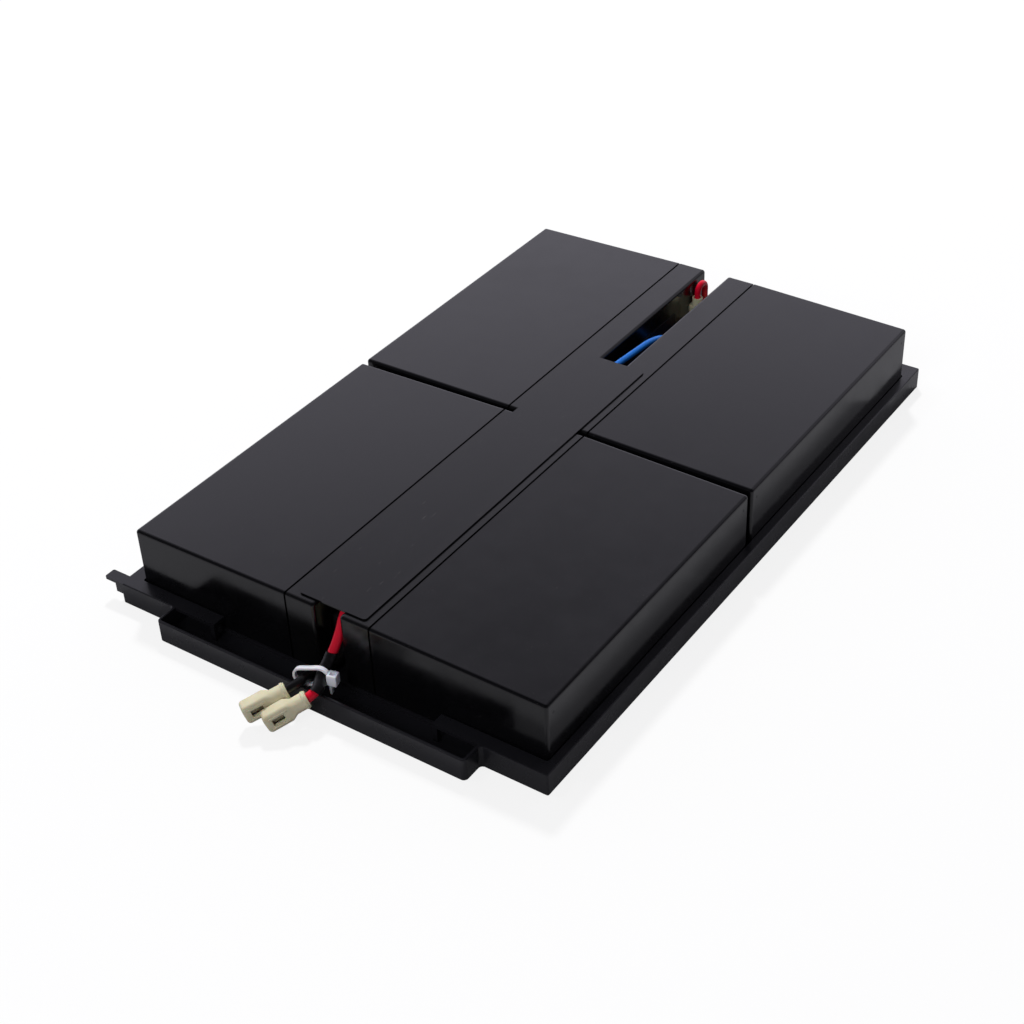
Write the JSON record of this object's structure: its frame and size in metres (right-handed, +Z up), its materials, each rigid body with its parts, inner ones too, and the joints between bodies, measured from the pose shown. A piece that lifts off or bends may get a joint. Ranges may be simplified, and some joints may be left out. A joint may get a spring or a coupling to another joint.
{
  "type": "ups battery cartridge",
  "caption": "Flat battery cartridge for a rack UPS: sealed batteries in a black tray, with a wiring channel and two leads.",
  "frame": {"origin": "on the flat underside of the tray, below the middle of the block of batteries", "axes": "+Z up, +Y from the end with the leads to the back, +X to the right seen from the leads' end"},
  "size_m": [0.2208, 0.3539, 0.0377],
  "materials": {
    "tray_plastic": "satin black moulding",
    "battery_plastic": "smooth black, slightly glossy",
    "lid_strip_plastic": "satin black",
    "cover_sheet": "smooth black sheet",
    "tinned_brass": "tinned",
    "red_resin": "cast resin",
    "black_resin": "cast resin",
    "natural_nylon": "natural nylon",
    "black_nylon": "satin",
    "white_nylon": "satin",
    "red_insulation": "smooth",
    "blue_insulation": "smooth",
    "black_insulation": "smooth",
    "shrink_plastic": "satin"
  },
  "bodies": {
    "root": {"tray": "tray_plastic", "case_front_left": "battery_plastic", "lid_front_left": "battery_plastic", "vent_strip_front_left": "lid_strip_plastic", "terminal_front_left_positive": "tinned_brass", "grip_front_left_positive": "tinned_brass", "seal_front_left_positive": "red_resin", "sleeve_front_left_positive": "natural_nylon", "terminal_front_left_negative": "tinned_brass", "grip_front_left_negative": "tinned_brass", "seal_front_left_negative": "black_resin", "sleeve_front_left_negative": "black_nylon", "case_front_right": "battery_plastic", "lid_front_right": "battery_plastic", "vent_strip_front_right": "lid_strip_plastic", "terminal_front_right_positive": "tinned_brass", "grip_front_right_positive": "tinned_brass", "seal_front_right_positive": "red_resin", "sleeve_front_right_positive": "natural_nylon", "terminal_front_right_negative": "tinned_brass", "grip_front_right_negative": "tinned_brass", "seal_front_right_negative": "black_resin", "sleeve_front_right_negative": "black_nylon", "case_back_left": "battery_plastic", "lid_back_left": "battery_plastic", "vent_strip_back_left": "lid_strip_plastic", "terminal_back_left_positive": "tinned_brass", "grip_back_left_positive": "tinned_brass", "seal_back_left_positive": "red_resin", "sleeve_back_left_positive": "natural_nylon", "terminal_back_left_negative": "tinned_brass", "grip_back_left_negative": "tinned_brass", "seal_back_left_negative": "black_resin", "sleeve_back_left_negative": "black_nylon", "case_back_right": "battery_plastic", "lid_back_right": "battery_plastic", "vent_strip_back_right": "lid_strip_plastic", "terminal_back_right_positive": "tinned_brass", "grip_back_right_positive": "tinned_brass", "seal_back_right_positive": "red_resin", "sleeve_back_right_positive": "natural_nylon", "terminal_back_right_negative": "tinned_brass", "grip_back_right_negative": "tinned_brass", "seal_back_right_negative": "black_resin", "sleeve_back_right_negative": "black_nylon", "red_lead": "red_insulation", "black_lead": "black_insulation", "red_jumper": "red_insulation", "blue_jumper": "blue_insulation", "black_jumper": "black_insulation", "shrink_tube": "shrink_plastic", "cable_tie": "white_nylon", "red_connector": "natural_nylon", "black_connector": "natural_nylon", "red_contact": "tinned_brass", "black_contact": "tinned_brass", "centre_cover": "cover_sheet"}
  },
  "joints": []
}
